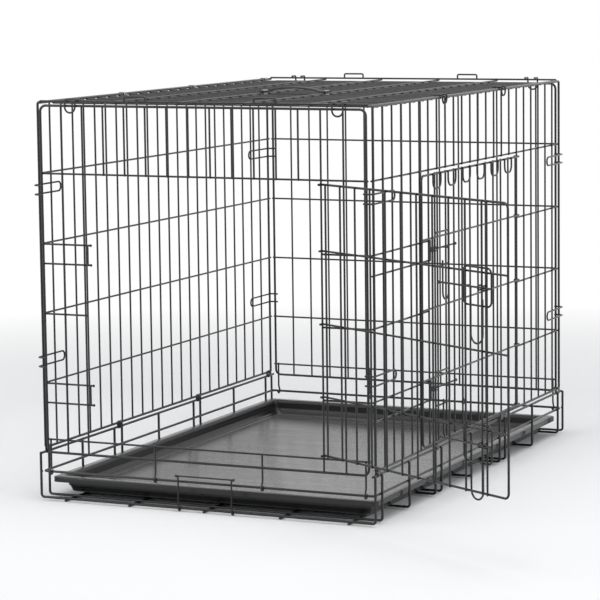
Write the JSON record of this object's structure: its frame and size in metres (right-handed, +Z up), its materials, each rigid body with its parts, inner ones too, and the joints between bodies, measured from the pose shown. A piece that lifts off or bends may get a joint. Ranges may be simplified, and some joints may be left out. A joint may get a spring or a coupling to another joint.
{
  "type": "folding wire dog crate",
  "caption": "Folding wire crate for a dog, with a front door and a side door on wire hinges, sliding bolts, a lift-up lid with a carry strap, and a pull-out plastic tray.",
  "frame": {"origin": "the middle of the base, on the flat underside of the centre floor wire, at the floor", "axes": "-Y to the end with the front door, +X to the side with the side door, +Z up"},
  "size_m": [1.0654, 1.3064, 0.7898],
  "materials": {
    "coated_wire": "black satin coating on steel wire",
    "coated_clip": "black satin coating on bent steel strip",
    "bare_clip": "plain zinc-plated steel strip",
    "tray_plastic": "black moulded plastic with a fine grain",
    "strap_plastic": "black moulded plastic"
  },
  "bodies": {
    "crate": {"base_frame": "coated_wire", "front_panel": "coated_wire", "left_side_panel": "coated_wire", "right_side_panel": "coated_wire", "front_left_lower_corner_hook": "coated_wire", "front_left_upper_corner_hook": "coated_wire", "front_right_lower_corner_hook": "coated_wire", "front_right_upper_corner_hook": "coated_wire", "back_left_lower_corner_hook": "coated_wire", "back_left_upper_corner_hook": "coated_wire", "back_right_lower_corner_hook": "coated_wire", "back_right_upper_corner_hook": "coated_wire", "left_side_hinge_clip_1": "coated_clip", "left_side_hinge_clip_2": "coated_clip", "left_side_hinge_clip_3": "coated_clip", "left_side_hinge_clip_4": "coated_clip", "right_side_hinge_clip_1": "coated_clip", "right_side_hinge_clip_2": "coated_clip", "right_side_hinge_clip_3": "coated_clip", "right_side_hinge_clip_4": "coated_clip"},
    "back_wall": {"back_panel": "coated_wire"},
    "lid": {"top_panel": "coated_wire", "top_hinge_clip_1": "bare_clip", "top_hinge_clip_2": "bare_clip", "top_hinge_clip_3": "bare_clip", "front_left_top_hook": "coated_wire", "front_right_top_hook": "coated_wire", "back_left_top_hook": "coated_wire", "back_right_top_hook": "coated_wire", "right_front_top_hook": "coated_wire", "right_back_top_hook": "coated_wire", "carry_handle": "strap_plastic", "handle_clip_left": "bare_clip", "handle_clip_right": "bare_clip"},
    "front_gate": {"front_door": "coated_wire", "front_door_lower_latch_guide": "coated_wire", "front_door_upper_latch_guide": "coated_wire"},
    "side_gate": {"side_door": "coated_wire", "side_door_lower_latch_guide": "coated_wire", "side_door_upper_latch_guide": "coated_wire"},
    "front_lower_bolt": {"front_door_lower_latch_bolt": "coated_wire"},
    "front_upper_bolt": {"front_door_upper_latch_bolt": "coated_wire"},
    "side_lower_bolt": {"side_door_lower_latch_bolt": "coated_wire"},
    "side_upper_bolt": {"side_door_upper_latch_bolt": "coated_wire"},
    "pull_out_tray": {"tray": "tray_plastic"},
    "tray_gate": {"tray_stop": "coated_wire"}
  },
  "joints": [
    {"name": "front_door_hinge", "type": "hinge", "parent": "crate", "child": "front_gate", "pos_m": [0.24933, -0.5225, 0.35], "axis": [0, 0, 1], "range_deg": [-150.6, 15]},
    {"name": "side_door_hinge", "type": "hinge", "parent": "crate", "child": "side_gate", "pos_m": [0.35, 0.24607, 0.35], "axis": [0, 0, 1], "range_deg": [0, 165]},
    {"name": "front_lower_bolt_slide", "type": "slide", "parent": "front_gate", "child": "front_lower_bolt", "axis": [0.8712, -0.4909, 0], "range_m": [0, 0.026]},
    {"name": "front_upper_bolt_slide", "type": "slide", "parent": "front_gate", "child": "front_upper_bolt", "axis": [0.8712, -0.4909, 0], "range_m": [0, 0.026]},
    {"name": "side_lower_bolt_slide", "type": "slide", "parent": "side_gate", "child": "side_lower_bolt", "axis": [0, -1, 0], "range_m": [0, 0.026]},
    {"name": "side_upper_bolt_slide", "type": "slide", "parent": "side_gate", "child": "side_upper_bolt", "axis": [0, -1, 0], "range_m": [0, 0.026]},
    {"name": "lid_hinge", "type": "hinge", "parent": "crate", "child": "lid", "pos_m": [-0.35, 0, 0.775], "axis": [0, -1, 0], "range_deg": [0, 210]},
    {"name": "back_panel_hinge", "type": "hinge", "parent": "crate", "child": "back_wall", "pos_m": [0, 0.5225, 0.057], "axis": [1, 0, 0], "range_deg": [0, 90]},
    {"name": "tray_slide", "type": "slide", "parent": "crate", "child": "pull_out_tray", "axis": [0, -1, 0], "range_m": [0, 0.0275]},
    {"name": "tray_stop_hinge", "type": "hinge", "parent": "crate", "child": "tray_gate", "pos_m": [0.0045, -0.5267, 0.00637], "axis": [1, 0, 0], "range_deg": [0, 80]}
  ]
}
